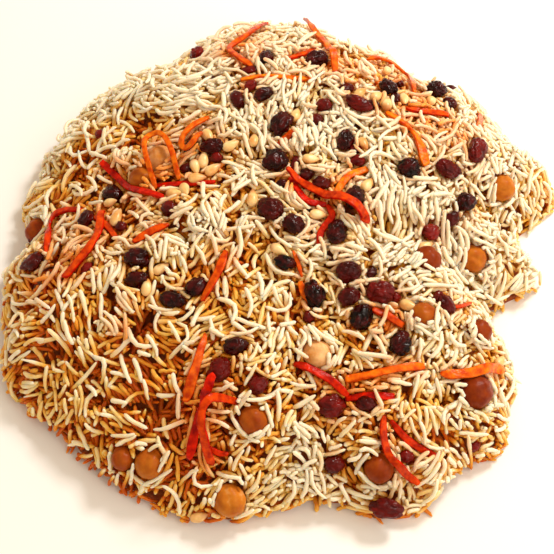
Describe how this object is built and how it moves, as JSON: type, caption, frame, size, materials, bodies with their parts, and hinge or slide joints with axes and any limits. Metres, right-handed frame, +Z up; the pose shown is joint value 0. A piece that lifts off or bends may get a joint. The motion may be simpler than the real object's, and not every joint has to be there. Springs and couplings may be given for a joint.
{
  "type": "heap of kabuli pulao",
  "caption": "Broad uneven mound of long-grain rice dressed with raisins, carrot strips, chickpeas and pine nuts, resting on its flat underside.",
  "frame": {"origin": "middle of the outline, on the flat underside that rests on the dish or table", "axes": "+Z up through the heap, -Y towards the eater, +X to the eater's right"},
  "size_m": [0.2626, 0.272, 0.0663],
  "materials": {
    "rice": "satin",
    "raisin": "gloss",
    "carrot": "gloss",
    "chickpea": "satin"
  },
  "bodies": {
    "root": {"rice_heap": "rice", "chickpea_01": "chickpea", "chickpea_02": "chickpea", "chickpea_03": "chickpea", "chickpea_04": "chickpea", "chickpea_05": "chickpea", "chickpea_06": "chickpea", "chickpea_07": "chickpea", "chickpea_08": "chickpea", "chickpea_09": "chickpea", "chickpea_10": "chickpea", "chickpea_11": "chickpea", "raisin_01": "raisin", "raisin_02": "raisin", "raisin_03": "raisin", "raisin_04": "raisin", "raisin_05": "raisin", "raisin_06": "raisin", "raisin_07": "raisin", "raisin_08": "raisin", "raisin_09": "raisin", "raisin_10": "raisin", "raisin_11": "raisin", "raisin_12": "raisin", "raisin_13": "raisin", "raisin_14": "raisin", "raisin_15": "raisin", "raisin_16": "raisin", "raisin_17": "raisin", "raisin_18": "raisin", "raisin_19": "raisin", "raisin_20": "raisin", "raisin_21": "raisin", "raisin_22": "raisin", "raisin_23": "raisin", "raisin_24": "raisin", "raisin_25": "raisin", "raisin_26": "raisin", "raisin_27": "raisin", "carrot_strip_01": "carrot", "carrot_strip_02": "carrot", "carrot_strip_03": "carrot", "carrot_strip_04": "carrot", "carrot_strip_05": "carrot", "carrot_strip_06": "carrot", "carrot_strip_07": "carrot", "carrot_strip_08": "carrot", "carrot_strip_09": "carrot", "carrot_strip_10": "carrot", "carrot_strip_11": "carrot", "carrot_strip_12": "carrot", "carrot_strip_13": "carrot", "carrot_strip_14": "carrot", "carrot_strip_15": "carrot", "carrot_strip_16": "carrot", "carrot_strip_17": "carrot", "carrot_strip_18": "carrot", "carrot_strip_19": "carrot", "carrot_strip_20": "carrot", "carrot_strip_21": "carrot"}
  },
  "joints": []
}
